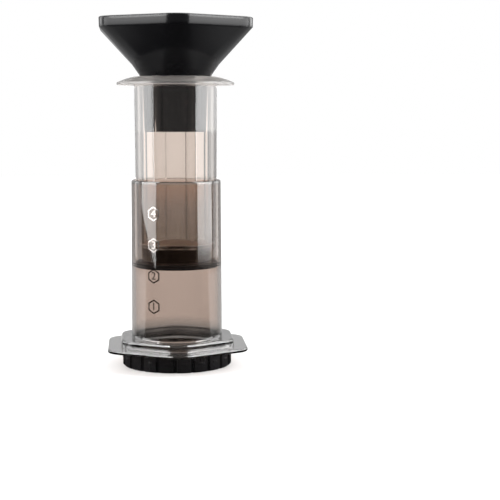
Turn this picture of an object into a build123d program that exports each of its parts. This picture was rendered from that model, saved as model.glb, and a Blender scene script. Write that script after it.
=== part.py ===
"""Portable coffee press, in millimetres, standing on its filter cap with +Z up.

A clear chamber takes a clear hexagonal plunger with a rubber seal. A cap with drip holes
holds a paper filter under the chamber by a bayonet, and a filling funnel stands in the
plunger's mouth. The origin is on the axis, at the underside of the cap.
"""

import os
from math import cos, radians, sin, sqrt, tan

from build123d import *

os.makedirs("parts", exist_ok=True)

# Chamber: a drafted tube with a hexagonal stand, a terrace on it and a neck under it
bore_radius = 30.7
chamber_wall = 2.35
chamber_draft = 0.33
chamber_length = 116.5
mouth_depth = 2.5
mouth_width = 1.2
mouth_edge = 0.6
stand_flats = 102.6
stand_corner = 14.0
stand_thickness = 2.6
stand_edge = 1.1
terrace_flats = 83.0
terrace_corner = 16.0
terrace_height = 5.6
terrace_edge = 1.6
terrace_wall = 2.6
foot_round = 1.0
neck_length = 10.3
neck_wall = 2.8
seat_relief = 0.6

# Bayonet: lugs on the neck, tabs in the cap, and a stop beside each lug
lug_count = 6
lug_reach = 3.0
lug_height = 2.6
lug_setback = 3.3
lug_sweep = 22.0
lug_root = 0.6
tab_height = 2.3
stop_sweep = 3.0
bayonet_gap = 0.5
bayonet_lift = 0.3
stop_gap = 0.6

# Filter cap and paper filter
cap_floor = 2.4
cap_wall = 1.9
cap_top_gap = 0.8
cap_relief = 1.5
grip_height = 1.6
grip_count = 20
grip_groove = 1.7
grip_turn = 5.0
grip_edge = 1.0
nib_reach = 0.3
nib_sweep = 5.0
nib_height = 1.0
nib_level = 6.2
paper_thickness = 0.25
paper_overlap = 1.3
paper_gap = 0.05
drip_radius = 1.8
drip_pitch = 8.5
drip_rings = 3

# Plunger: a drafted hexagonal tube with a floor, a skirt, a snap spigot and a domed flange
plunger_length = 128.4
plunger_corner = 3.0
plunger_wall = 1.65
plunger_draft = 0.25
plunger_heading = -4.0
guide_gap = 0.4
skirt_length = 9.0
floor_thickness = 3.0
flange_radius = 43.1
flange_edge = 1.6
flange_round = 0.5
flange_crown = 5.8
crest_radius = 30.0
crown_rise = 0.5
spigot_radius = 12.0
spigot_length = 7.5
spigot_wall = 2.6
bead_reach = 2.0
bead_height = 3.0

# Seal: a rubber plug with a grooved lip
seal_height = 70.7
lip_height = 4.5
lip_edge = 0.9
lip_groove = 0.8
lip_gap = 0.1
seal_dome = 1.2
dome_flat = 12.0
skirt_gap = 1.1
plug_gap = 0.35
snap_gap = 0.1

# Funnel: a hexagonal bowl with an upright band, drawn down to a round collar and a tapered spout
funnel_flats = 109.7
funnel_corner = 16.0
funnel_band = 7.0
funnel_band_draft = 1.5
funnel_wall = 2.2
funnel_rim_round = 0.9
funnel_neck_round = 34.0
collar_drop = 3.4
collar_angle = 18.0
collar_sweep = 9.0
flare_angle = 42.0
spout_length = 36.6
spout_taper = 4.9
spout_gap = 0.35
seat_gap = 0.25

# Levels, upwards from the underside of the cap
chamber_end = cap_floor + paper_thickness + paper_gap
stand_level = chamber_end + neck_length
stand_top = stand_level + stand_thickness
terrace_top = stand_top + terrace_height
rim_level = terrace_top + chamber_length
lip_level = chamber_end + seal_height
shoulder_level = lip_level + lip_height
skirt_level = shoulder_level + skirt_gap
ceiling_level = skirt_level + skirt_length
floor_level = ceiling_level + floor_thickness
flange_level = skirt_level + plunger_length
crest_level = flange_level + flange_crown

# Radii that follow from the fits
neck_radius = bore_radius + neck_wall
lug_radius = neck_radius + lug_reach
rim_radius = bore_radius + chamber_wall
base_radius = rim_radius + chamber_length * tan(radians(chamber_draft))
cavity_radius = lug_radius + bayonet_gap
skirt_radius = cavity_radius + cap_wall
grip_radius = skirt_radius + grip_height
relief_radius = grip_radius + cap_relief
lug_level = chamber_end + lug_setback
tab_level = lug_level + lug_height + bayonet_lift
cap_top = stand_level - cap_top_gap

# Hexagons: a corner of radius r stands back from the sharp corner by r times this share
side_count = 6
stand_turn = 30
corner_share = 2 / sqrt(3) - 1
plunger_flats = sqrt(3) * (bore_radius - guide_gap + plunger_corner * corner_share)
draft_slope = 2 * tan(radians(plunger_draft))
merge = 0.5


def plunger_flats_at(level):
    """Width across the flats of the plunger's outside at a level, narrower further down."""
    return plunger_flats - draft_slope * (flange_level - level)


def rounded_hexagon(flats, corner, turn):
    """Sketch of a hexagon with rounded corners, turned by an angle from a corner on +X."""
    with BuildSketch() as outline:
        RegularPolygon(flats / 2, side_count, major_radius=False, rotation=turn)
        fillet(outline.vertices(), corner)
    return outline.sketch


def plunger_outline(level, wall):
    """Sketch of the plunger's hexagon at a level, inside a wall."""
    flats = plunger_flats_at(level) - 2 * wall
    return rounded_hexagon(flats, plunger_corner - wall, plunger_heading)


def ring_sector(inner, outer, start, sweep):
    """Sketch of a piece of a ring between two radii, from a start angle over a sweep."""
    with BuildSketch() as sector:
        with BuildLine():
            near = CenterArc((0, 0), inner, start, sweep)
            far = CenterArc((0, 0), outer, start, sweep)
            Line(near @ 0, far @ 0)
            Line(near @ 1, far @ 1)
        make_face()
    return sector.sketch


# Chamber
with BuildPart() as chamber:
    with BuildSketch(Plane.XY.offset(stand_level)):
        add(rounded_hexagon(stand_flats, stand_corner, stand_turn))
    extrude(amount=stand_thickness)
    fillet(edges().group_by(Axis.Z)[0] + edges().group_by(Axis.Z)[-1], stand_edge)

    with BuildSketch(Plane.XY.offset(stand_top)):
        add(rounded_hexagon(terrace_flats, terrace_corner, stand_turn))
    extrude(amount=terrace_height)
    fillet(edges().group_by(Axis.Z)[-1], terrace_edge)
    ledge = faces().filter_by(Axis.Z).sort_by(Axis.Z)[-2]
    fillet(ledge.inner_wires()[0].edges(), foot_round)

    # Underside: a relief that lets the cap's grip pass the seat, and a cored terrace
    with BuildSketch(Plane.XY.offset(stand_level)):
        Circle(relief_radius)
    extrude(amount=seat_relief, mode=Mode.SUBTRACT)
    with BuildSketch(Plane.XY.offset(stand_level)):
        core_flats = terrace_flats - 2 * terrace_wall
        add(rounded_hexagon(core_flats, terrace_corner - terrace_wall, stand_turn))
    extrude(amount=terrace_top - terrace_wall - stand_level, mode=Mode.SUBTRACT)

    # Neck and drafted tube, in one turned profile
    with BuildSketch(Plane.XZ):
        with BuildLine():
            Polyline(
                (0, chamber_end),
                (neck_radius, chamber_end),
                (neck_radius, terrace_top - terrace_wall),
                (base_radius, terrace_top),
                (rim_radius, rim_level),
                (0, rim_level),
                close=True,
            )
        make_face()
    revolve(axis=Axis.Z)
    chamfer(edges().group_by(Axis.Z)[-1], mouth_edge)
    terrace = faces().filter_by(Axis.Z).sort_by(Axis.Z)[-2]
    fillet(terrace.inner_wires()[0].edges(), foot_round)

    # Lugs, each with a stop that the cap's tab turns against
    with BuildSketch(Plane.XY.offset(lug_level)):
        with PolarLocations(0, lug_count):
            add(ring_sector(neck_radius - lug_root, lug_radius, -lug_sweep / 2, lug_sweep))
    extrude(amount=lug_height)
    with BuildSketch(Plane.XY.offset(lug_level)):
        stop_start = lug_sweep / 2 + stop_gap
        with PolarLocations(0, lug_count):
            add(ring_sector(neck_radius - lug_root, lug_radius, stop_start, stop_sweep))
    extrude(amount=tab_level + tab_height - lug_level)

    # Bore, with a lead-in at the mouth
    with BuildSketch(Plane.XZ):
        with BuildLine():
            Polyline(
                (0, chamber_end),
                (bore_radius, chamber_end),
                (bore_radius, rim_level - mouth_depth),
                (bore_radius + mouth_width, rim_level),
                (0, rim_level),
                close=True,
            )
        make_face()
    revolve(axis=Axis.Z, mode=Mode.SUBTRACT)
chamber.part.label = "chamber"
export_step(chamber.part, "parts/chamber.step")


# Filter cap
with BuildPart() as filter_cap:
    with BuildSketch():
        Circle(grip_radius)
    extrude(amount=cap_top)
    chamfer(edges().filter_by(GeomType.CIRCLE), grip_edge)
    with BuildSketch():
        with PolarLocations(grip_radius, grip_count, start_angle=grip_turn + 180 / grip_count):
            Circle(grip_groove)
    extrude(amount=cap_top, mode=Mode.SUBTRACT)
    with BuildSketch(Plane.XY.offset(nib_level)):
        with PolarLocations(0, grip_count, start_angle=grip_turn):
            add(ring_sector(skirt_radius, grip_radius + nib_reach, -nib_sweep / 2, nib_sweep))
    extrude(amount=nib_height)

    # Cavity: a close seat round the neck, then room for the lugs
    with BuildSketch(Plane.XY.offset(cap_floor)):
        Circle(neck_radius + bayonet_gap)
    extrude(amount=cap_top, mode=Mode.SUBTRACT)
    with BuildSketch(Plane.XY.offset(lug_level - bayonet_gap)):
        Circle(cavity_radius)
    extrude(amount=cap_top, mode=Mode.SUBTRACT)
    with BuildSketch(Plane.XY.offset(tab_level)):
        tab_root = cavity_radius + lug_root
        with PolarLocations(0, lug_count):
            add(ring_sector(neck_radius + bayonet_gap, tab_root, -lug_sweep / 2, lug_sweep))
    extrude(amount=tab_height)

    # Drip holes on a triangular grid, as a hexagon of rings round the middle one
    with BuildSketch():
        steps = range(-drip_rings, drip_rings + 1)
        cells = [(a, b) for a in steps for b in steps if abs(a + b) <= drip_rings]
        rise = drip_pitch * sin(radians(60))
        with Locations(*[(drip_pitch * (a + b / 2), rise * b) for a, b in cells]):
            Circle(drip_radius)
    extrude(amount=cap_floor, mode=Mode.SUBTRACT)
filter_cap.part.label = "filter_cap"
export_step(filter_cap.part, "parts/filter_cap.step")


# Paper filter
with BuildPart() as paper_filter:
    with BuildSketch(Plane.XY.offset(cap_floor)):
        Circle(bore_radius + paper_overlap)
    extrude(amount=paper_thickness)
paper_filter.part.label = "paper_filter"
export_step(paper_filter.part, "parts/paper_filter.step")


# Funnel neck: an arc from the spout to the bowl's straight flare, about a centre outside it
tube_flats = plunger_flats - 2 * plunger_wall
spout_radius = tube_flats / 2 - spout_gap
spout_top = crest_level - collar_drop
neck_center_r = spout_radius + funnel_neck_round * cos(radians(collar_angle))
neck_center_z = spout_top - funnel_neck_round * sin(radians(collar_angle))


def neck_arc(gap, sweep):
    """Arc of the funnel's neck, moved outwards by a gap, from the spout over a sweep upwards."""
    center = (neck_center_r, neck_center_z)
    return CenterArc(center, funnel_neck_round - gap, 180 - collar_angle, -sweep)


# Snap spigot under the plunger's floor, and the socket for it in the seal
bead_radius = spigot_radius + bead_reach
spigot_level = ceiling_level - spigot_length


def spigot_outline(gap):
    """Half section of the snap spigot, grown by a gap on every side."""
    return [
        (0, ceiling_level + merge),
        (spigot_radius + gap, ceiling_level + merge),
        (spigot_radius + gap, spigot_level + bead_height + gap),
        (bead_radius + gap, spigot_level + bead_height - bead_reach / 2 + gap),
        (bead_radius + gap, spigot_level + bead_reach / 2 - gap),
        (spigot_radius + gap, spigot_level - gap),
        (0, spigot_level - gap),
    ]


# Plunger tube
with BuildPart() as plunger_tube:
    with BuildSketch(Plane.XY.offset(skirt_level)):
        add(plunger_outline(skirt_level, 0))
    with BuildSketch(Plane.XY.offset(flange_level)):
        add(plunger_outline(flange_level, 0))
    loft(ruled=True)

    # Domed flange
    with BuildSketch(Plane.XZ):
        with BuildLine():
            rim = flange_level + flange_edge
            middle_r = (flange_radius + crest_radius) / 2
            middle_z = (rim + crest_level) / 2 + crown_rise
            Line((0, crest_level), (0, flange_level))
            Line((0, flange_level), (flange_radius, flange_level))
            Line((flange_radius, flange_level), (flange_radius, rim))
            ThreePointArc((flange_radius, rim), (middle_r, middle_z), (crest_radius, crest_level))
            Line((crest_radius, crest_level), (0, crest_level))
        make_face()
    revolve(axis=Axis.Z)
    fillet(edges().filter_by(GeomType.CIRCLE).sort_by(SortBy.RADIUS)[-2:], flange_round)

    # Hollow above the floor, open at the mouth
    with BuildSketch(Plane.XY.offset(floor_level)):
        add(plunger_outline(floor_level, plunger_wall))
    with BuildSketch(Plane.XY.offset(crest_level)):
        add(plunger_outline(crest_level, plunger_wall))
    loft(ruled=True, mode=Mode.SUBTRACT)

    # Skirt below the floor
    with BuildSketch(Plane.XY.offset(skirt_level)):
        add(plunger_outline(skirt_level, plunger_wall))
    extrude(amount=skirt_length, mode=Mode.SUBTRACT)

    # Seat in the mouth that follows the funnel's neck
    with BuildSketch(Plane.XZ):
        with BuildLine():
            seat = neck_arc(seat_gap, collar_sweep)
            Line(seat @ 1, (0, (seat @ 1).Y))
            Line((0, (seat @ 1).Y), (0, (seat @ 0).Y))
            Line((0, (seat @ 0).Y), seat @ 0)
        make_face()
    revolve(axis=Axis.Z, mode=Mode.SUBTRACT)

    # Snap spigot, cored from inside
    with BuildSketch(Plane.XZ):
        with BuildLine():
            Polyline(*spigot_outline(0), close=True)
        make_face()
    revolve(axis=Axis.Z)
    core_level = spigot_level + spigot_wall
    with BuildSketch(Plane.XY.offset(core_level)):
        Circle(spigot_radius - spigot_wall)
    extrude(amount=floor_level - core_level, mode=Mode.SUBTRACT)
plunger_tube.part.label = "plunger_tube"
export_step(plunger_tube.part, "parts/plunger_tube.step")


# Plunger seal
lip_radius = bore_radius - lip_gap
lip_middle = lip_level + lip_height / 2
plug_radius = plunger_flats_at(skirt_level) / 2 - plunger_wall - plug_gap
with BuildPart() as plunger_seal:
    with BuildSketch(Plane.XZ):
        with BuildLine():
            Polyline(
                (0, lip_level - seal_dome),
                (dome_flat, lip_level - seal_dome),
                (lip_radius - lip_edge, lip_level),
                (lip_radius, lip_level + lip_edge),
                (lip_radius, lip_middle - lip_groove),
                (lip_radius - lip_groove, lip_middle),
                (lip_radius, lip_middle + lip_groove),
                (lip_radius, shoulder_level - lip_edge),
                (lip_radius - lip_edge, shoulder_level),
                (plug_radius, shoulder_level),
                (plug_radius, ceiling_level - snap_gap),
                (0, ceiling_level - snap_gap),
                close=True,
            )
        make_face()
    revolve(axis=Axis.Z)
    with BuildSketch(Plane.XZ):
        with BuildLine():
            Polyline(*spigot_outline(snap_gap), close=True)
        make_face()
    revolve(axis=Axis.Z, mode=Mode.SUBTRACT)
plunger_seal.part.label = "plunger_seal"
export_step(plunger_seal.part, "parts/plunger_seal.step")


# Funnel
spout_level = spout_top - spout_length
spout_slope = tan(radians(spout_taper))
flare_slope = tan(radians(flare_angle))
brim_flare = 2 * funnel_band * tan(radians(funnel_band_draft))
round_share = 0.995


def bowl_sections(wall):
    """Level, width across the flats and corner radius of the bowl's hexagons, inside a wall."""
    collar = neck_arc(-wall, collar_sweep) @ 1
    waist = neck_arc(-wall, flare_angle - collar_angle) @ 1
    flats = funnel_flats - 2 * wall
    corner = funnel_corner - wall
    bend_level = waist.Y + (flats / 2 - waist.X) / flare_slope
    round_corner = collar.X * round_share
    waist_share = (waist.Y - collar.Y) / (bend_level - collar.Y)
    waist_corner = round_corner + (corner - round_corner) * waist_share
    return [
        (collar.Y, 2 * collar.X, round_corner),
        (waist.Y, 2 * waist.X, waist_corner),
        (bend_level, flats, corner),
    ]


brim_level = bowl_sections(0)[-1][0] + funnel_band
with BuildPart() as funnel:
    for wall, mode in ((0, Mode.ADD), (funnel_wall, Mode.SUBTRACT)):
        # Spout and round collar
        with BuildSketch(Plane.XZ):
            with BuildLine():
                collar = neck_arc(-wall, collar_sweep)
                foot = collar @ 0
                head = collar @ 1
                spout_end = (foot.X - (foot.Y - spout_level) * spout_slope, spout_level)
                Polyline(foot, spout_end, (0, spout_level), (0, head.Y), head)
            make_face()
        revolve(axis=Axis.Z, mode=mode)

        # Bowl and upright band, through hexagons whose corners sharpen upwards
        sections = bowl_sections(wall)
        for level, flats, corner in sections:
            with BuildSketch(Plane.XY.offset(level)):
                add(rounded_hexagon(flats, corner, stand_turn))
        with BuildSketch(Plane.XY.offset(brim_level)):
            add(rounded_hexagon(flats + brim_flare, corner, stand_turn))
        loft(ruled=True, mode=mode)
    fillet(edges().group_by(Axis.Z)[-1], funnel_rim_round)
funnel.part.label = "funnel"
export_step(funnel.part, "parts/funnel.step")
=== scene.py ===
"""Looks of a portable coffee press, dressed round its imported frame. Lengths are in metres."""

import math

import bpy
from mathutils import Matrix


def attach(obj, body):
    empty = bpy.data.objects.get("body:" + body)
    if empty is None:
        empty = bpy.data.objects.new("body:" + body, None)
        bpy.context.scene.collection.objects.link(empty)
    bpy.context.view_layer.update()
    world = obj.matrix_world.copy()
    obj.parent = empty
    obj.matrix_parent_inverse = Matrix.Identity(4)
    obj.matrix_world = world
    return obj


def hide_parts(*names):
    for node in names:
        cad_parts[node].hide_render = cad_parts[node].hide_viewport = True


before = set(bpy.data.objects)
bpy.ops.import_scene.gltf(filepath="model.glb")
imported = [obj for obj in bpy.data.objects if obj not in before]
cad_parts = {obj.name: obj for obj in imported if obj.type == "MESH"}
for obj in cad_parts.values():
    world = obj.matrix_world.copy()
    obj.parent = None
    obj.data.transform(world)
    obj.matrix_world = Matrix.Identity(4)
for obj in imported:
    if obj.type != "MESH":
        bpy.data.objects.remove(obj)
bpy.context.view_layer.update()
bpy.ops.object.select_all(action="DESELECT")


# Chamber: a drafted tube of clear smoked plastic, with a hexagonal stand, a terrace on it and
# a neck with bayonet lugs under it. It is moulded in one shot, so its walls are glossy inside
# and out, with faint flow marks along the tube.
chamber_tint = (0.975, 0.85, 0.778, 1.0)
chamber_streak = (0.94, 0.82, 0.748, 1.0)
chamber_density = 130.0
chamber_skin = {
    "flow_size": 0.03, "flow_stretch": 0.2, "grain_size": 0.002, "smooth": 0.05, "rough": 0.09,
}
smoke = (0.17, 0.17, 0.17, 1.0)
plastic_ior = 1.54
plastic_wave = 0.00001
face_rough = 0.03
noise_range = (0.3, 0.7)
flow_detail = 3.0
grain_detail = 2.0
grain_share = 0.35

# Zones of the chamber: a hazy rim, a painted shade at the tube's foot that darkens it towards the
# stand, and a grey stand with a little haze
rim_zone = (0.1352, 0.1364, (0.95, 0.90, 0.87, 1.0), 0.25)
foot_shade_zone = (0.0315, 0.0235, (0.55, 0.53, 0.51, 1.0), None)
stand_zone = (0.0235, 0.0213, (0.70, 0.70, 0.70, 1.0), 0.12)


def add_node(tree, kind, inputs=None, **settings):
    """A node with its settings made, and its inputs filled with values or linked to sockets."""
    node = tree.nodes.new(kind)
    for name, value in settings.items():
        setattr(node, name, value)
    for socket, value in (inputs or {}).items():
        if isinstance(value, bpy.types.NodeSocket):
            tree.links.new(value, node.inputs[socket])
        else:
            node.inputs[socket].default_value = value
    return node


def reckon(tree, operation, *values):
    """What an operation makes of some values."""
    return add_node(
        tree, "ShaderNodeMath", dict(enumerate(values)), operation=operation,
    ).outputs[0]


def ramp(tree, value, edges, levels=(0.0, 1.0)):
    """A number that goes from one level to another, as a value goes from one edge to another."""
    return add_node(
        tree, "ShaderNodeMapRange",
        {
            "Value": value,
            "From Min": edges[0],
            "From Max": edges[1],
            "To Min": levels[0],
            "To Max": levels[1],
        },
    ).outputs["Result"]


def mixed(tree, share, first, second):
    """A number that turns from a first to a second by a share."""
    return add_node(
        tree, "ShaderNodeMix", {0: share, 2: first, 3: second}, data_type="FLOAT",
    ).outputs[0]


def turned(tree, share, colour, tone):
    """A colour that turns to a tone by a share."""
    return add_node(
        tree, "ShaderNodeMix", {"Factor": share, 6: colour, 7: tone}, data_type="RGBA",
    ).outputs[2]


def two_tone(tree, factor, low, high):
    """A colour that runs from one tone to another with a factor."""
    tones = add_node(tree, "ShaderNodeValToRGB", {"Fac": factor})
    tones.color_ramp.elements[0].color = low
    tones.color_ramp.elements[1].color = high
    return tones.outputs["Color"]


def height_share(tree, first, second):
    """How far a point has come from one height to another, from none to all the way."""
    place = add_node(tree, "ShaderNodeTexCoord").outputs["Object"]
    level = add_node(tree, "ShaderNodeSeparateXYZ", {0: place}).outputs["Z"]
    return ramp(tree, level, (first, second))


def empty_material(name):
    """A material with no nodes, and its tree."""
    material = bpy.data.materials.new(name)
    material.use_nodes = True
    material.node_tree.nodes.clear()
    return material, material.node_tree


def empty_group(name, inputs, outputs):
    """A shader node group with named float inputs and outputs, and its two end nodes."""
    group = bpy.data.node_groups.new(name, "ShaderNodeTree")
    for label, value in inputs.items():
        socket = group.interface.new_socket(label, in_out="INPUT", socket_type="NodeSocketFloat")
        socket.default_value = value
    for label in outputs:
        group.interface.new_socket(label, in_out="OUTPUT", socket_type="NodeSocketFloat")
    return group, group.nodes.new("NodeGroupInput"), group.nodes.new("NodeGroupOutput")


def dress(piece, material):
    """Gives a piece its finish."""
    piece.data.materials.clear()
    piece.data.materials.append(material)


# Moulded skin, for every moulded piece: long flow marks that run along the pull of the mould,
# and a fine even grain. Shade varies the colour, Gloss the roughness and Height the bump.
moulded_skin, skin_in, skin_out = empty_group(
    "moulded_skin",
    {"Flow Size": 0.02, "Flow Stretch": 0.2, "Grain Size": 0.0004, "Smooth": 0.1, "Rough": 0.2},
    ["Shade", "Gloss", "Height"],
)
place = add_node(moulded_skin, "ShaderNodeTexCoord").outputs["Object"]
stretch = add_node(
    moulded_skin, "ShaderNodeCombineXYZ",
    {"X": 1.0, "Y": 1.0, "Z": skin_in.outputs["Flow Stretch"]},
)
along = add_node(
    moulded_skin, "ShaderNodeVectorMath",
    {0: place, 1: stretch.outputs[0]}, operation="MULTIPLY",
)
flow = add_node(
    moulded_skin, "ShaderNodeTexNoise",
    {
        "Vector": along.outputs[0],
        "Scale": reckon(moulded_skin, "DIVIDE", 1.0, skin_in.outputs["Flow Size"]),
        "Detail": flow_detail,
    },
).outputs["Fac"]
grain = add_node(
    moulded_skin, "ShaderNodeTexNoise",
    {
        "Vector": place,
        "Scale": reckon(moulded_skin, "DIVIDE", 1.0, skin_in.outputs["Grain Size"]),
        "Detail": grain_detail,
    },
).outputs["Fac"]
gloss = ramp(
    moulded_skin, flow, noise_range, (skin_in.outputs["Smooth"], skin_in.outputs["Rough"]),
)
relief = reckon(moulded_skin, "MULTIPLY_ADD", grain, grain_share, flow)
moulded_skin.links.new(flow, skin_out.inputs["Shade"])
moulded_skin.links.new(gloss, skin_out.inputs["Gloss"])
moulded_skin.links.new(relief, skin_out.inputs["Height"])


def skin_node(tree, **values):
    """The moulded skin in a material, with its own values."""
    node = add_node(tree, "ShaderNodeGroup", node_tree=moulded_skin)
    for label, value in values.items():
        node.inputs[label.replace("_", " ").title()].default_value = value
    return node


def clear_plastic(name, tint, streak, density, skin_values, zones, polish_level=1.0):
    """Clear moulded plastic, smoked through its depth, that lets lamps through.

    A zone is two heights, a tone and a haze. From its first height to its second, the tint turns
    to the tone, and where it has a haze, the skin turns that rough under a face polished to a level.
    """
    material, tree = empty_material(name)
    skin = skin_node(tree, **skin_values)
    bump = add_node(
        tree, "ShaderNodeBump", {"Distance": plastic_wave, "Height": skin.outputs["Height"]},
    )
    colour = two_tone(tree, skin.outputs["Shade"], tint, streak)
    rough = skin.outputs["Gloss"]
    polish = 0.0
    for first, second, tone, haze in zones:
        share = height_share(tree, first, second)
        colour = turned(tree, share, colour, tone)
        if haze:
            rough = mixed(tree, share, rough, haze)
            face = reckon(tree, "MULTIPLY", share, polish_level)
            polish = reckon(tree, "MAXIMUM", polish, face)
    glass = add_node(
        tree, "ShaderNodeBsdfPrincipled",
        {
            "Base Color": colour,
            "Roughness": rough,
            "Normal": bump.outputs["Normal"],
            "IOR": plastic_ior,
            "Transmission Weight": 1.0,
            "Coat Weight": polish,
            "Coat Roughness": face_rough,
        },
    )
    thin = add_node(tree, "ShaderNodeBsdfTransparent", {"Color": tint})
    depth = add_node(tree, "ShaderNodeVolumeAbsorption", {"Color": smoke, "Density": density})
    ray = add_node(tree, "ShaderNodeLightPath")
    wall = add_node(
        tree, "ShaderNodeMixShader",
        {0: ray.outputs["Is Shadow Ray"], 1: glass.outputs[0], 2: thin.outputs[0]},
    )
    add_node(
        tree, "ShaderNodeOutputMaterial",
        {"Surface": wall.outputs[0], "Volume": depth.outputs[0]},
    )
    return material


chamber_plastic = clear_plastic(
    "chamber_plastic",
    chamber_tint,
    chamber_streak,
    chamber_density,
    chamber_skin,
    [rim_zone, foot_shade_zone, stand_zone],
)
dress(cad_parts["chamber"], chamber_plastic)


# Level marks: a hexagon with a plain number in it for each measure, stamped on the outside of the
# chamber in a dark foil that mirrors the light beside it. The upper two are paler by a painted
# highlight, and rougher.
mark_levels = {"1": 0.0471, "2": 0.0694, "3": 0.0918, "4": 0.1146}
mark_heading = math.radians(-31.7)
mark_height = 0.0107
mark_line = 0.0009
mark_sides = 6
mark_cuts = 3
mark_crease = math.radians(30)
number_height = 0.0056
number_share = 0.7
foil_thickness = 0.00006
foil_lift = 0.00003
foil_dark = (0.06, 0.046, 0.039, 1.0)
foil_brown = (0.09, 0.07, 0.06, 1.0)
# Painted highlight: the pale foil colour of the upper marks
foil_painted_highlight = (0.31, 0.285, 0.27, 1.0)
foil_gloss = (0.06, 0.12)
rub_scale = 900.0
rub_detail = 3.0
sheen_and_rub_levels = (0.075, 0.085)
rub_more = 0.1

# The chamber's wall, which the marks are pressed on, and where they start from
mark_distance = 0.036
tube_radii = (0.033721, 0.03305)
tube_levels = (0.0212, 0.1377)
tube_sides = 360


def stamped_foil(name):
    """Dark metal foil with a little rub and grain, paler by a painted highlight and rougher on the
    upper marks.
    """
    material, tree = empty_material(name)
    place = add_node(tree, "ShaderNodeTexCoord").outputs["Object"]
    rub = add_node(
        tree, "ShaderNodeTexNoise", {"Vector": place, "Scale": rub_scale, "Detail": rub_detail},
    ).outputs["Fac"]
    gloss = ramp(tree, rub, noise_range, foil_gloss)
    # Above these heights the foil turns pale by a painted highlight, and rougher
    upper = height_share(tree, sheen_and_rub_levels[0], sheen_and_rub_levels[1])
    tone = two_tone(tree, rub, foil_dark, foil_brown)
    foil = add_node(
        tree, "ShaderNodeBsdfPrincipled",
        {
            "Base Color": turned(tree, upper, tone, foil_painted_highlight),
            "Metallic": 1.0,
            "Roughness": reckon(tree, "MULTIPLY_ADD", upper, rub_more, gloss),
        },
    )
    add_node(tree, "ShaderNodeOutputMaterial", {"Surface": foil.outputs[0]})
    return material


mark_foil = stamped_foil("mark_foil")
bpy.ops.mesh.primitive_cone_add(
    vertices=tube_sides,
    radius1=tube_radii[0],
    radius2=tube_radii[1],
    depth=tube_levels[1] - tube_levels[0],
    location=(0, 0, (tube_levels[0] + tube_levels[1]) / 2),
)
former = bpy.context.object


def level_mark(number, level):
    """One mark, drawn flat, cut into small faces and pressed on the chamber's wall."""
    bpy.ops.object.select_all(action="DESELECT")
    bpy.ops.object.text_add()
    figure = bpy.context.object
    figure.data.body = number
    figure.data.size = number_height / number_share
    figure.data.align_x = "CENTER"
    figure.data.align_y = "CENTER"
    bpy.ops.object.convert(target="MESH")
    bpy.ops.mesh.primitive_circle_add(
        vertices=mark_sides, radius=mark_height / 2, fill_type="NGON",
    )
    mark = bpy.context.object
    bpy.ops.object.mode_set(mode="EDIT")
    bpy.ops.mesh.select_all(action="SELECT")
    bpy.ops.mesh.inset(thickness=mark_line)
    bpy.ops.mesh.delete(type="FACE")
    bpy.ops.object.mode_set(mode="OBJECT")
    figure.select_set(True)
    bpy.ops.object.join()
    mark.name = "level_mark_" + number
    bpy.ops.object.mode_set(mode="EDIT")
    bpy.ops.mesh.select_all(action="SELECT")
    bpy.ops.mesh.quads_convert_to_tris()
    bpy.ops.mesh.subdivide(number_cuts=mark_cuts)
    bpy.ops.object.mode_set(mode="OBJECT")
    mark.rotation_euler = (math.radians(90), 0, 0)
    bpy.ops.object.transform_apply(location=False, rotation=True, scale=False)
    mark.location = (
        mark_distance * math.sin(mark_heading),
        -mark_distance * math.cos(mark_heading),
        level,
    )
    mark.rotation_euler = (0, 0, mark_heading)
    press = mark.modifiers.new("press", "SHRINKWRAP")
    press.target = former
    press.wrap_method = "PROJECT"
    press.use_project_y = True
    press.use_negative_direction = False
    press.use_positive_direction = True
    press.offset = foil_lift
    bpy.ops.object.modifier_apply(modifier=press.name)
    thick = mark.modifiers.new("foil", "SOLIDIFY")
    thick.thickness = foil_thickness
    thick.offset = 0.0
    bpy.ops.object.modifier_apply(modifier=thick.name)
    bpy.ops.object.transform_apply(location=True, rotation=True, scale=True)
    bpy.ops.object.shade_smooth_by_angle(angle=mark_crease)
    dress(mark, mark_foil)
    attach(mark, "chamber")


for number, level in mark_levels.items():
    level_mark(number, level)
bpy.data.objects.remove(former)


# Paper filter: a disc cut from white paper with a fine crepe. It lies on the cap's floor, and the
# end of the chamber holds it down.
paper_cream = (0.78, 0.765, 0.73, 1.0)
paper_white = (0.88, 0.87, 0.85, 1.0)
paper_rough = 0.9
fibre_scale = 1400.0
fibre_detail = 4.0
crepe_height = 0.00008


def crepe_paper(name):
    """White paper with a fine crepe and loose fibres."""
    material, tree = empty_material(name)
    place = add_node(tree, "ShaderNodeTexCoord").outputs["Object"]
    fibres = add_node(
        tree, "ShaderNodeTexNoise",
        {"Vector": place, "Scale": fibre_scale, "Detail": fibre_detail},
    ).outputs["Fac"]
    bump = add_node(tree, "ShaderNodeBump", {"Distance": crepe_height, "Height": fibres})
    paper = add_node(
        tree, "ShaderNodeBsdfPrincipled",
        {
            "Base Color": two_tone(tree, fibres, paper_cream, paper_white),
            "Roughness": paper_rough,
            "Normal": bump.outputs["Normal"],
        },
    )
    add_node(tree, "ShaderNodeOutputMaterial", {"Surface": paper.outputs[0]})
    return material


dress(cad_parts["paper_filter"], crepe_paper("filter_paper"))


# Filter cap: moulded in black plastic, with a fluted grip, a floor full of drip holes and six
# tabs that turn in above the chamber's lugs, so that the cap hangs on them.
cap_low = (0.006, 0.006, 0.007, 1.0)
cap_high = (0.011, 0.011, 0.012, 1.0)
cap_skin = {
    "flow_size": 0.02, "flow_stretch": 0.5, "grain_size": 0.0003, "smooth": 0.22, "rough": 0.34,
}
cap_edge = 0.0005
satin_gleam = 0.35
black_ior = 1.47
black_relief = 0.00002
edge_samples = 8
polish_rough = 0.17


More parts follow.
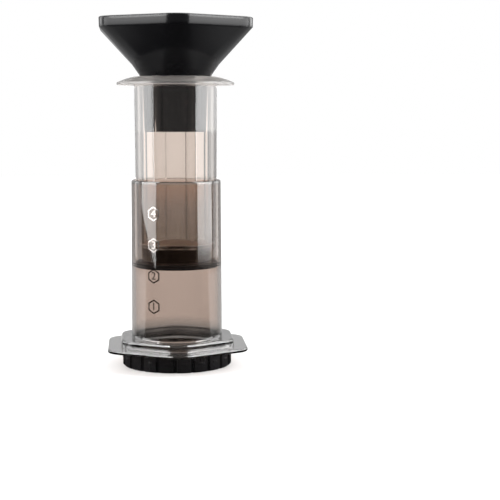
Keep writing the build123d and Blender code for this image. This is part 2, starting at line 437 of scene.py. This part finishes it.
def dark_plastic(name, low, high, skin_values, edge, gleam, polish=None):
    """Opaque black moulding, with a satin grain and edges shaded as rounded to a radius.

    Polish is two heights and a weight. From its first height to its second, a smooth bright skin
    comes in with that weight.
    """
    material, tree = empty_material(name)
    skin = skin_node(tree, **skin_values)
    rounded = add_node(tree, "ShaderNodeBevel", {"Radius": edge}, samples=edge_samples)
    bump = add_node(
        tree, "ShaderNodeBump",
        {
            "Distance": black_relief,
            "Height": skin.outputs["Height"],
            "Normal": rounded.outputs["Normal"],
        },
    )
    shell = add_node(
        tree, "ShaderNodeBsdfPrincipled",
        {
            "Base Color": two_tone(tree, skin.outputs["Shade"], low, high),
            "Roughness": skin.outputs["Gloss"],
            "Normal": bump.outputs["Normal"],
            "IOR": black_ior,
            "Specular IOR Level": gleam,
        },
    )
    if polish:
        bottom, top, most = polish
        weight = reckon(tree, "MULTIPLY", height_share(tree, bottom, top), most)
        tree.links.new(weight, shell.inputs["Coat Weight"])
        tree.links.new(rounded.outputs["Normal"], shell.inputs["Coat Normal"])
        shell.inputs["Coat Roughness"].default_value = polish_rough
    add_node(tree, "ShaderNodeOutputMaterial", {"Surface": shell.outputs[0]})
    return material


cap_black = dark_plastic("cap_black", cap_low, cap_high, cap_skin, cap_edge, satin_gleam)
dress(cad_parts["filter_cap"], cap_black)


# Plunger seal: a black rubber plug, snapped on the plunger's spigot. Its grooved lip is squeezed
# on the bore all round, so no air shows between rubber and chamber.
seal_low = (0.007, 0.007, 0.008, 1.0)
seal_high = (0.013, 0.013, 0.014, 1.0)
seal_skin = {
    "flow_size": 0.01, "flow_stretch": 1.0, "grain_size": 0.0003, "smooth": 0.42, "rough": 0.55,
}
seal_edge = 0.0002
seal_sides = 128
seal_round = 0.0002
seal_round_steps = 2
seal_crease = math.radians(35)

# Rings of the seal as radius and height, from its face round the lip and plug into the socket
seal_rings = [
    (0.0120, 0.0722),
    (0.0240, 0.0728),
    (0.0299, 0.0735),
    (0.03073, 0.0745),
    (0.03073, 0.0753),
    (0.0303, 0.0757),
    (0.03073, 0.0761),
    (0.03073, 0.0769),
    (0.0299, 0.0779),
    (0.0241, 0.0779),
    (0.0241, 0.0879),
    (0.0121, 0.0879),
    (0.0121, 0.0836),
    (0.0141, 0.0826),
    (0.0141, 0.0814),
    (0.0121, 0.0804),
]
seal_black = dark_plastic("seal_black", seal_low, seal_high, seal_skin, seal_edge, satin_gleam)
bpy.ops.object.select_all(action="DESELECT")
radius, level = seal_rings[0]
bpy.ops.mesh.primitive_circle_add(
    vertices=seal_sides, radius=radius, fill_type="NGON", location=(0, 0, level),
)
seal = bpy.context.object
seal.name = "rubber_seal"
bpy.ops.object.transform_apply(location=True, rotation=True, scale=True)
bpy.ops.object.mode_set(mode="EDIT")
bpy.ops.mesh.select_all(action="SELECT")
for next_radius, next_level in seal_rings[1:]:
    bpy.ops.mesh.extrude_region_move(TRANSFORM_OT_translate={"value": (0, 0, next_level - level)})
    scale = next_radius / radius
    bpy.ops.transform.resize(value=(scale, scale, 1), center_override=(0, 0, next_level))
    radius, level = next_radius, next_level
bpy.ops.mesh.select_all(action="SELECT")
bpy.ops.mesh.normals_make_consistent(inside=False)
bpy.ops.object.mode_set(mode="OBJECT")
soften = seal.modifiers.new("soften", "BEVEL")
soften.width = seal_round
soften.segments = seal_round_steps
soften.limit_method = "ANGLE"
bpy.ops.object.modifier_apply(modifier=soften.name)
bpy.ops.object.shade_smooth_by_angle(angle=seal_crease)
dress(seal, seal_black)
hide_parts("plunger_seal")
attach(seal, "seal")


# Plunger tube: moulded in paler clear plastic, hexagonal outside and round inside, with a round
# domed thumb flange. It starts as its CAD solid, whose hollow is filled up and then bored round,
# so that its six corners are thick.
plunger_tint = (0.897, 0.822, 0.770, 1.0)
plunger_streak = (0.872, 0.799, 0.748, 1.0)
plunger_density = 8.0
plunger_skin = {
    "flow_size": 0.03, "flow_stretch": 0.2, "grain_size": 0.002, "smooth": 0.04, "rough": 0.07,
}
plunger_turn = math.radians(-4.0)
plunger_crease = math.radians(25)
merge_distance = 0.000001
bore_levels = (0.0910, 0.2070)
bore_radii = (0.02440, 0.02490)
bore_sides = 128
bore_over = 0.001
filler_sides = 6
filler_flats = 0.0510
filler_sink = 0.0006
plunger_polish = 0.3
# The darkest painted shade, at the plunger's floor next to the black seal
floor_shade_tone = (0.675, 0.666, 0.641, 1.0)

# Zones of the plunger: a painted shade that deepens twice on the way down to the seal, haze on
# the floor's face, clear plastic again under it, and a grey, hazy flange
lower_shade_zone = (0.1375, 0.116, (0.739, 0.729, 0.719, 1.0), None)
lowest_shade_zone = (0.116, 0.090, floor_shade_tone, None)
floor_zone = (0.09115, 0.09105, floor_shade_tone, 0.4)
under_zone = (0.09095, 0.09085, floor_shade_tone, 0.05)
flange_zone = (0.2055, 0.2075, (0.52, 0.515, 0.51, 1.0), 0.5)
plunger_plastic = clear_plastic(
    "plunger_plastic",
    plunger_tint,
    plunger_streak,
    plunger_density,
    plunger_skin,
    [lower_shade_zone, lowest_shade_zone, floor_zone, under_zone, flange_zone],
    plunger_polish,
)


def join_solid(piece, tool, operation):
    """Adds a solid to a piece, or cuts it from the piece."""
    step = piece.modifiers.new("solid", "BOOLEAN")
    step.operation = operation
    step.solver = "EXACT"
    step.object = tool
    bpy.ops.object.select_all(action="DESELECT")
    bpy.context.view_layer.objects.active = piece
    piece.select_set(True)
    bpy.ops.object.modifier_apply(modifier=step.name)
    bpy.data.objects.remove(tool)


bpy.ops.object.select_all(action="DESELECT")
tube = bpy.data.objects.new("clear_plunger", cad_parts["plunger_tube"].data.copy())
bpy.context.scene.collection.objects.link(tube)
bpy.context.view_layer.objects.active = tube
tube.select_set(True)
bpy.ops.object.mode_set(mode="EDIT")
bpy.ops.mesh.select_all(action="SELECT")
bpy.ops.mesh.remove_doubles(threshold=merge_distance)
bpy.ops.mesh.customdata_custom_splitnormals_clear()
bpy.ops.object.mode_set(mode="OBJECT")
bpy.ops.mesh.primitive_cylinder_add(
    vertices=filler_sides,
    radius=filler_flats / math.sqrt(3),
    depth=bore_levels[1] - bore_levels[0] + filler_sink,
    location=(0, 0, (bore_levels[0] + bore_levels[1] - filler_sink) / 2),
    rotation=(0, 0, math.radians(30) + plunger_turn),
)
join_solid(tube, bpy.context.object, "UNION")
bpy.ops.mesh.primitive_cone_add(
    vertices=bore_sides,
    radius1=bore_radii[0],
    radius2=bore_radii[1],
    depth=bore_levels[1] - bore_levels[0] + bore_over,
    location=(0, 0, (bore_levels[0] + bore_levels[1] + bore_over) / 2),
)
join_solid(tube, bpy.context.object, "DIFFERENCE")
bpy.ops.object.shade_smooth_by_angle(angle=plunger_crease)
flatten = tube.modifiers.new("flatten", "WEIGHTED_NORMAL")
flatten.keep_sharp = True
bpy.ops.object.modifier_apply(modifier=flatten.name)
dress(tube, plunger_plastic)
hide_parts("plunger_tube")
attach(tube, "plunger")


# Funnel: moulded in black plastic, from a hexagonal bowl down to a round spout that stands loose
# in the plunger's mouth. The upright band round the brim shines more than the satin bowl.
funnel_low = (0.0025, 0.0025, 0.003, 1.0)
funnel_high = (0.005, 0.005, 0.0055, 1.0)
funnel_skin = {
    "flow_size": 0.03, "flow_stretch": 0.6, "grain_size": 0.0003, "smooth": 0.14, "rough": 0.2,
}
funnel_edge = 0.003
funnel_gleam = 0.13
band_polish = (0.2470, 0.2510, 0.22)
funnel_black = dark_plastic(
    "funnel_black", funnel_low, funnel_high, funnel_skin, funnel_edge, funnel_gleam, band_polish,
)
dress(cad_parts["funnel"], funnel_black)


# Studio: a floor that runs into a surround. Both are white to the camera and through the clear
# pieces, and dimmer in what the pieces mirror, so that these keep dark edges. Soft boxes stand on
# both sides and behind, and one hangs above. They show only where they are mirrored.
studio_size = 6.0
white = (1.0, 1.0, 1.0, 1.0)
black = (0.0, 0.0, 0.0, 1.0)
floor_grey = (0.4, 0.4, 0.4, 1.0)
fill_level = 0.4
mirror_from = 0.5

# How white the floor itself is, near the press and away from it
white_edge = (0.35, 1.2)
white_levels = (0.3, 1.0)

# What mirrors see: edges as distances on the floor or as headings, from -1 in front to 1 behind
dark_edge = (-0.12, -0.06)
dark_ring = (0.16, 0.20)
dark_far = (0.60, 0.68)
side_edge = (0.05, 0.6)
side_levels = (1.4, 0.8)
back_edge = (0.4, 0.75)
back_levels = (0.12, 0.5)
front_levels = (0.22, 0.0)
bpy.ops.mesh.primitive_plane_add(size=studio_size, location=(0, 0, 0))
floor = bpy.context.object
floor.name = "floor"
floor_white, tree = empty_material("floor_white")
ray = add_node(tree, "ShaderNodeLightPath").outputs
place = add_node(tree, "ShaderNodeTexCoord").outputs["Object"]
away = add_node(tree, "ShaderNodeVectorMath", {0: place}, operation="LENGTH").outputs["Value"]
plan = add_node(tree, "ShaderNodeSeparateXYZ", {0: place}).outputs
heading = reckon(tree, "DIVIDE", plan["Y"], away)
beside = ramp(tree, heading, dark_edge)
at_back = ramp(tree, heading, back_edge)
ring = reckon(tree, "MAXIMUM", ramp(tree, away, dark_ring), at_back)
reach = mixed(
    tree,
    ramp(tree, away, dark_far),
    ramp(tree, heading, side_edge, side_levels),
    ramp(tree, heading, back_edge, back_levels),
)
lit = reckon(tree, "MULTIPLY", ring, reach)
mirrored = reckon(tree, "MULTIPLY", beside, lit)
whiten = ramp(tree, away, white_edge, white_levels)
seen_white = reckon(tree, "MULTIPLY", ray["Is Camera Ray"], whiten)
through = reckon(tree, "MAXIMUM", seen_white, ray["Is Transmission Ray"])
bounced = reckon(tree, "GREATER_THAN", ray["Glossy Depth"], mirror_from)
strength = mixed(tree, bounced, through, mirrored)
glow = add_node(tree, "ShaderNodeEmission", {"Color": white, "Strength": strength})
bent = reckon(tree, "MAXIMUM", ray["Is Glossy Ray"], ray["Is Transmission Ray"])
matt = add_node(
    tree, "ShaderNodeBsdfDiffuse", {"Color": two_tone(tree, bent, floor_grey, black)},
)
both = add_node(tree, "ShaderNodeAddShader", {0: glow.outputs[0], 1: matt.outputs[0]})
add_node(tree, "ShaderNodeOutputMaterial", {"Surface": both.outputs[0]})
floor.data.materials.append(floor_white)

world = bpy.data.worlds.new("studio")
bpy.context.scene.world = world
world.use_nodes = True
tree = world.node_tree
tree.nodes.clear()
ray = add_node(tree, "ShaderNodeLightPath").outputs
seen = reckon(tree, "MAXIMUM", ray["Is Camera Ray"], ray["Is Transmission Ray"])
direction = add_node(tree, "ShaderNodeTexCoord").outputs["Generated"]
heading = add_node(tree, "ShaderNodeSeparateXYZ", {0: direction}).outputs["Y"]
in_front = ramp(tree, heading, dark_edge, front_levels)
behind = ramp(tree, heading, back_edge, back_levels)
mirrored = reckon(tree, "MAXIMUM", in_front, behind)
bounced = reckon(tree, "GREATER_THAN", ray["Glossy Depth"], mirror_from)
shown = mixed(tree, bounced, seen, mirrored)
fill = reckon(tree, "MULTIPLY", ray["Is Diffuse Ray"], fill_level)
strength = reckon(tree, "MAXIMUM", shown, fill)
sky = add_node(tree, "ShaderNodeBackground", {"Color": white, "Strength": strength})
add_node(tree, "ShaderNodeOutputWorld", {"Surface": sky.outputs[0]})

# Places of the soft boxes: their two edges in plan, and the heights of their bottoms and tops
left_side = ((-0.346, -0.314), (-0.431, 0.013))
right_side = ((0.360, -0.281), (0.447, 0.062))
left_strip = ((-0.325, -0.250), (-0.365, -0.180))
right_strip = ((0.340, -0.225), (0.375, -0.150))
left_low = ((-0.588, 0.095), (-0.446, 0.401))
right_low = ((0.580, 0.145), (0.446, 0.401))
left_back = ((-0.571, 0.185), (-0.446, 0.401))
right_back = ((0.571, 0.185), (0.446, 0.401))
strip_heights = (0.30, 0.55)
low_heights = (0.02, 0.11)
back_heights = (0.11, 0.165)
tall_heights = (0.165, 0.62)
left_lean = math.radians(11.0)

# Soft boxes by name: place, heights, radiance and lean. The right one fades out downwards, the
# strips add a bright line in front of the side boxes, and those behind are stacked in three.
soft_boxes = {
    "soft_box_left": (left_side, (0.057, 0.62), 4.9, left_lean),
    "soft_box_right": (right_side, (0.056, 0.62), 5.6, 0.0),
    "fade_high_right": (right_side, (0.046, 0.056), 3.6, 0.0),
    "fade_low_right": (right_side, (0.036, 0.046), 1.6, 0.0),
    "strip_left": (left_strip, strip_heights, 12.0, 0.0),
    "strip_right": (right_strip, strip_heights, 12.0, 0.0),
    "back_low_left": (left_low, low_heights, 1.1, 0.0),
    "back_low_right": (right_low, low_heights, 1.6, 0.0),
    "back_box_left": (left_back, back_heights, 2.2, 0.0),
    "back_box_right": (right_back, back_heights, 2.2, 0.0),
    "back_top_left": (left_back, tall_heights, 2.7, 0.0),
    "back_top_right": (right_back, tall_heights, 4.0, 0.0),
}
top_place = (0, 0.9, 1.3)
top_size = 1.6
top_radiance = 3.0
lamp_factor = 4


def set_lamp(lamp, name, width, height, radiance):
    """Names a lamp, gives it the power for its radiance, and hides the lamp itself."""
    lamp.name = name
    lamp.data.energy = lamp_factor * radiance * width * height
    lamp.visible_camera = False
    lamp.visible_transmission = False


def soft_box(name, edges, heights, radiance, lean):
    """An upright soft box between two edges in plan, that faces the axis and leans by an angle."""
    near, far = edges
    width = math.dist(near, far)
    height = heights[1] - heights[0]
    bpy.ops.object.light_add(
        type="AREA",
        location=((near[0] + far[0]) / 2, (near[1] + far[1]) / 2, sum(heights) / 2),
    )
    lamp = bpy.context.object
    lamp.data.shape = "RECTANGLE"
    lamp.data.size = width
    lamp.data.size_y = height
    set_lamp(lamp, name, width, height, radiance)
    turn = math.atan2(far[1] - near[1], far[0] - near[0])
    if math.cos(turn) * lamp.location.y > math.sin(turn) * lamp.location.x:
        turn += math.pi
    lamp.rotation_euler = (math.radians(90), lean, turn)


for name, (edges, heights, radiance, lean) in soft_boxes.items():
    soft_box(name, edges, heights, radiance, lean)
bpy.ops.object.light_add(type="AREA", location=top_place)
top_box = bpy.context.object
top_box.data.size = top_size
set_lamp(top_box, "top_box", top_size, top_size, top_radiance)


# Camera: level with the plunger, in front of the press and a little to its left, and looking a
# little down and past its right side. Angles are in degrees.
focal_pixels = 1239.0
frame_pixels = 500.0
sensor_width = 36.0
camera_distance = 0.920
camera_height = 0.183
camera_azimuth = -1.8
axis_offset = 3.41
camera_pitch = 6.07
near_clip = 0.01
clear_bounces = 24
bpy.ops.object.camera_add()
camera = bpy.context.object
camera.name = "camera"
camera.data.sensor_width = sensor_width
camera.data.lens = focal_pixels / frame_pixels * sensor_width
camera.data.clip_start = near_clip
azimuth = math.radians(camera_azimuth)
camera.location = (
    camera_distance * math.sin(azimuth),
    -camera_distance * math.cos(azimuth),
    camera_height,
)
camera.rotation_euler = (
    math.radians(90 - camera_pitch),
    0,
    azimuth - math.radians(axis_offset),
)
bpy.context.scene.camera = camera
bpy.context.scene.view_settings.view_transform = "Standard"
bpy.context.scene.cycles.max_bounces = clear_bounces
bpy.context.scene.cycles.transmission_bounces = clear_bounces
